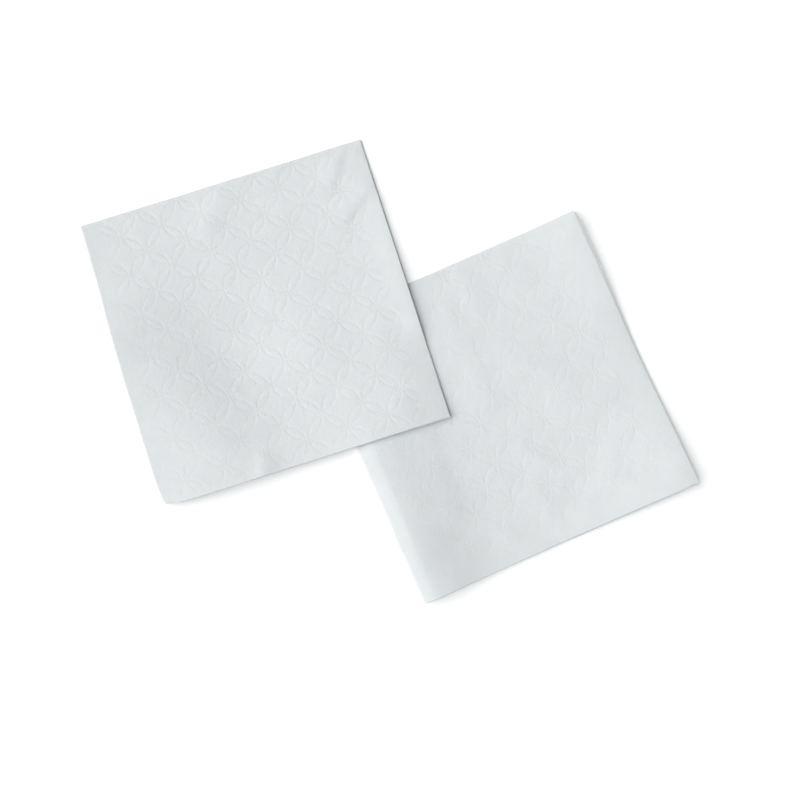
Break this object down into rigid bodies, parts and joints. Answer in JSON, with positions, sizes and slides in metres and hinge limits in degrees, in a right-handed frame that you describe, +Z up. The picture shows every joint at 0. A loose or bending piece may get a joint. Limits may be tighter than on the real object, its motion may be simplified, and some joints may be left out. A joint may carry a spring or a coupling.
{
  "type": "stack of paper napkins",
  "caption": "White embossed paper napkins folded in quarters, the upper one turned a little and lying over a corner of the lower one.",
  "frame": {"origin": "middle of the lower napkin's underside, on the surface that both napkins lie on", "axes": "+Z up from that surface; -X is the lower napkin's second fold, -Y its first fold, +X and +Y its raw edges"},
  "size_m": [0.2745, 0.2681, 0.0039],
  "materials": {
    "napkin_paper": "matte, soft tissue"
  },
  "bodies": {
    "root": {"lower_napkin": "napkin_paper", "upper_napkin": "napkin_paper"}
  },
  "joints": []
}
